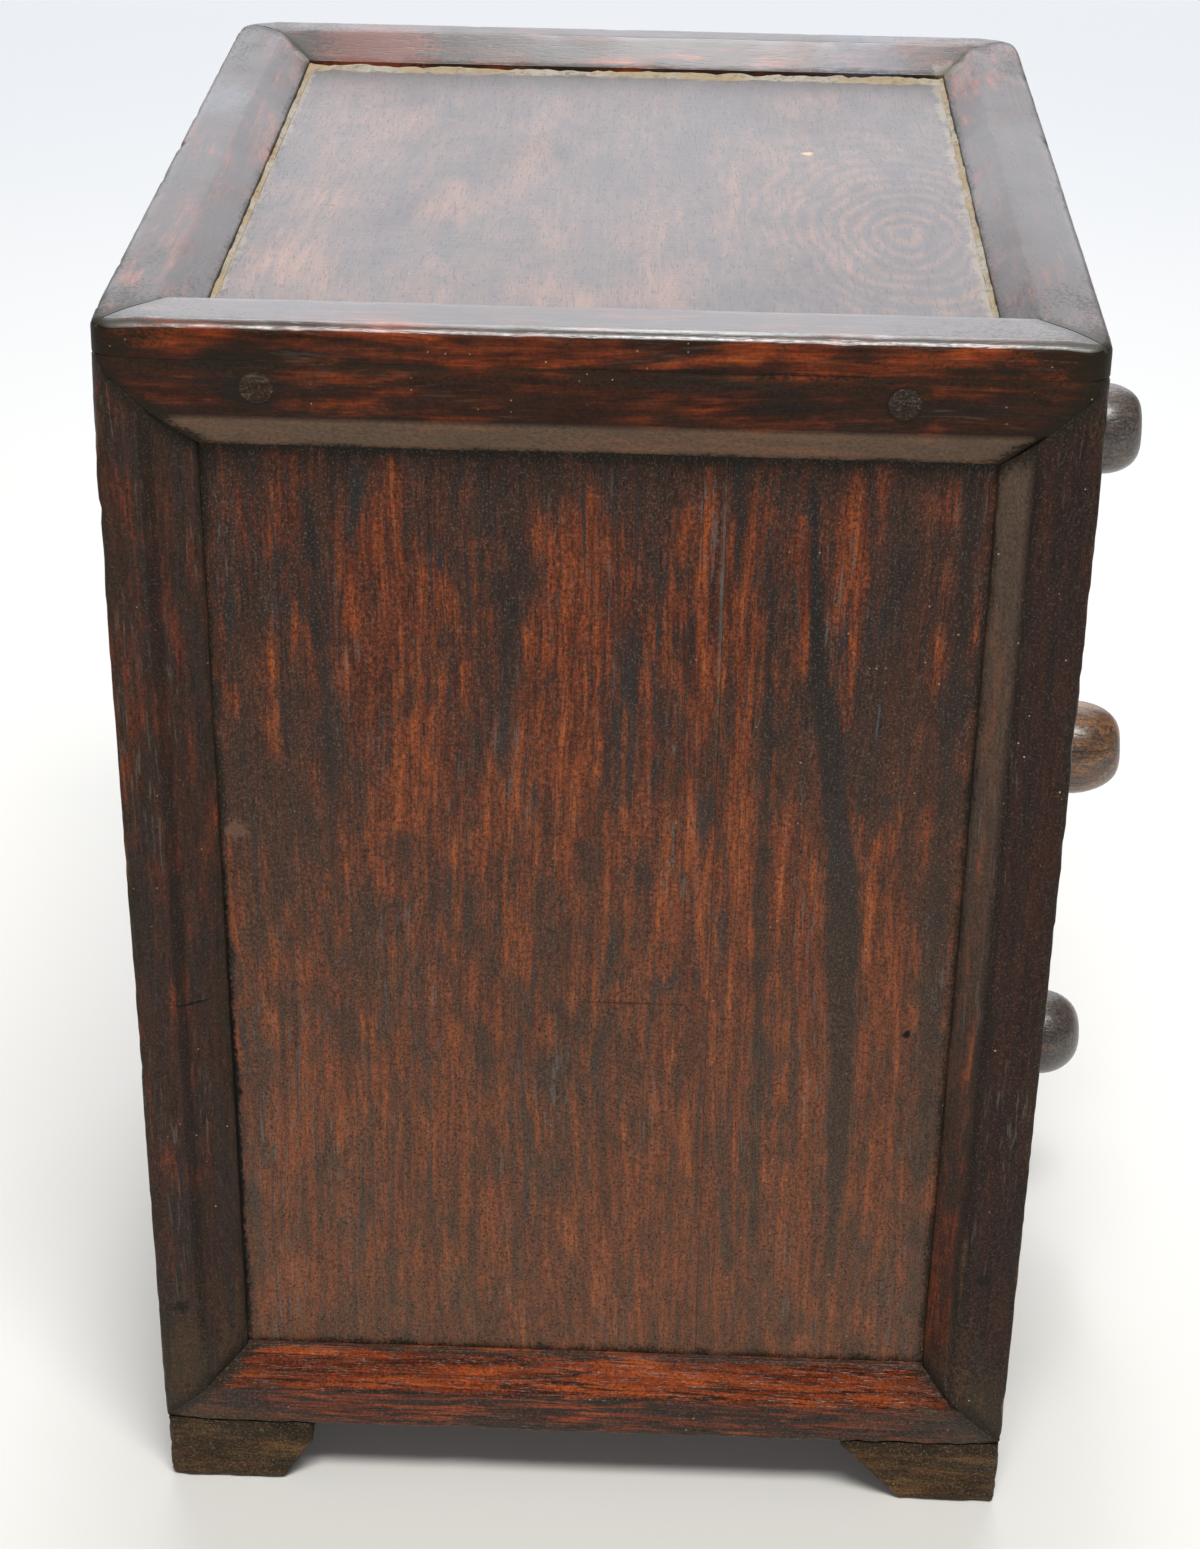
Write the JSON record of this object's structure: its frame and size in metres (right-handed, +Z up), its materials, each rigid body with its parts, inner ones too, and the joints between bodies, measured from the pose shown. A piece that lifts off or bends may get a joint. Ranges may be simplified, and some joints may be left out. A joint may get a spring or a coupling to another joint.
{
  "type": "wooden drawer box",
  "caption": "Small free-standing wooden chest with mitred frame-and-panel sides and top, corner feet and a column of pull-out drawers with turned knobs.",
  "frame": {"origin": "on the floor, under the middle of the bounding box, knobs included", "axes": "+Z up, -Y the way the drawers open, +X to the right as seen from the drawer side"},
  "size_m": [0.217, 0.224, 0.292],
  "materials": {
    "frame_wood": "dark oiled rosewood, satin, worn arrises with grime in the mitres",
    "panel_wood": "dark oiled rosewood with orange-red flame figure, fine pores and light dust",
    "drawer_front_wood": "dark oiled rosewood, satin",
    "knob_wood": "turned wood, handled smooth",
    "foot_wood": "dark wood, grimy and dusty",
    "peg_wood": "end grain, cut flush",
    "inner_wood": "plain planed wood, unfinished",
    "drawer_box_wood": "plain planed wood, unfinished",
    "nail_iron": "old dark iron"
  },
  "bodies": {
    "case": {"back_bottom_rail": "frame_wood", "back_left_foot": "foot_wood", "back_left_stile": "frame_wood", "back_panel_left_board": "panel_wood", "back_panel_right_board": "panel_wood", "back_right_foot": "foot_wood", "back_right_stile": "frame_wood", "back_top_rail": "frame_wood", "bottom_board": "inner_wood", "foot_nails": "nail_iron", "front_left_foot": "foot_wood", "front_right_foot": "foot_wood", "front_top_rail": "frame_wood", "left_back_stile": "frame_wood", "left_bottom_rail": "frame_wood", "left_front_stile": "frame_wood", "left_panel_back_board": "panel_wood", "left_panel_front_board": "panel_wood", "left_top_rail": "frame_wood", "lower_divider": "inner_wood", "middle_divider": "inner_wood", "right_back_stile": "frame_wood", "right_bottom_rail": "frame_wood", "right_front_stile": "frame_wood", "right_panel_back_board": "panel_wood", "right_panel_front_board": "panel_wood", "right_top_rail": "frame_wood", "top_back_rail": "frame_wood", "top_front_rail": "frame_wood", "top_left_rail": "frame_wood", "top_panel_back_board": "panel_wood", "top_panel_front_board": "panel_wood", "top_pegs": "peg_wood", "top_right_rail": "frame_wood"},
    "lower_drawer": {"lower_drawer_back": "drawer_box_wood", "lower_drawer_bottom": "drawer_box_wood", "lower_drawer_front": "drawer_front_wood", "lower_drawer_knob": "knob_wood", "lower_drawer_left_side": "drawer_box_wood", "lower_drawer_nails": "nail_iron", "lower_drawer_right_side": "drawer_box_wood"},
    "middle_drawer": {"middle_drawer_back": "drawer_box_wood", "middle_drawer_bottom": "drawer_box_wood", "middle_drawer_front": "drawer_front_wood", "middle_drawer_knob": "knob_wood", "middle_drawer_left_side": "drawer_box_wood", "middle_drawer_nails": "nail_iron", "middle_drawer_right_side": "drawer_box_wood"},
    "upper_drawer": {"upper_drawer_back": "drawer_box_wood", "upper_drawer_bottom": "drawer_box_wood", "upper_drawer_front": "drawer_front_wood", "upper_drawer_knob": "knob_wood", "upper_drawer_left_side": "drawer_box_wood", "upper_drawer_nails": "nail_iron", "upper_drawer_right_side": "drawer_box_wood"}
  },
  "joints": [
    {"name": "lower_drawer_slide", "type": "slide", "parent": "case", "child": "lower_drawer", "axis": [0, -1, 0], "range_m": [0, 0.15]},
    {"name": "middle_drawer_slide", "type": "slide", "parent": "case", "child": "middle_drawer", "axis": [0, -1, 0], "range_m": [0, 0.15]},
    {"name": "upper_drawer_slide", "type": "slide", "parent": "case", "child": "upper_drawer", "axis": [0, -1, 0], "range_m": [0, 0.15]}
  ]
}
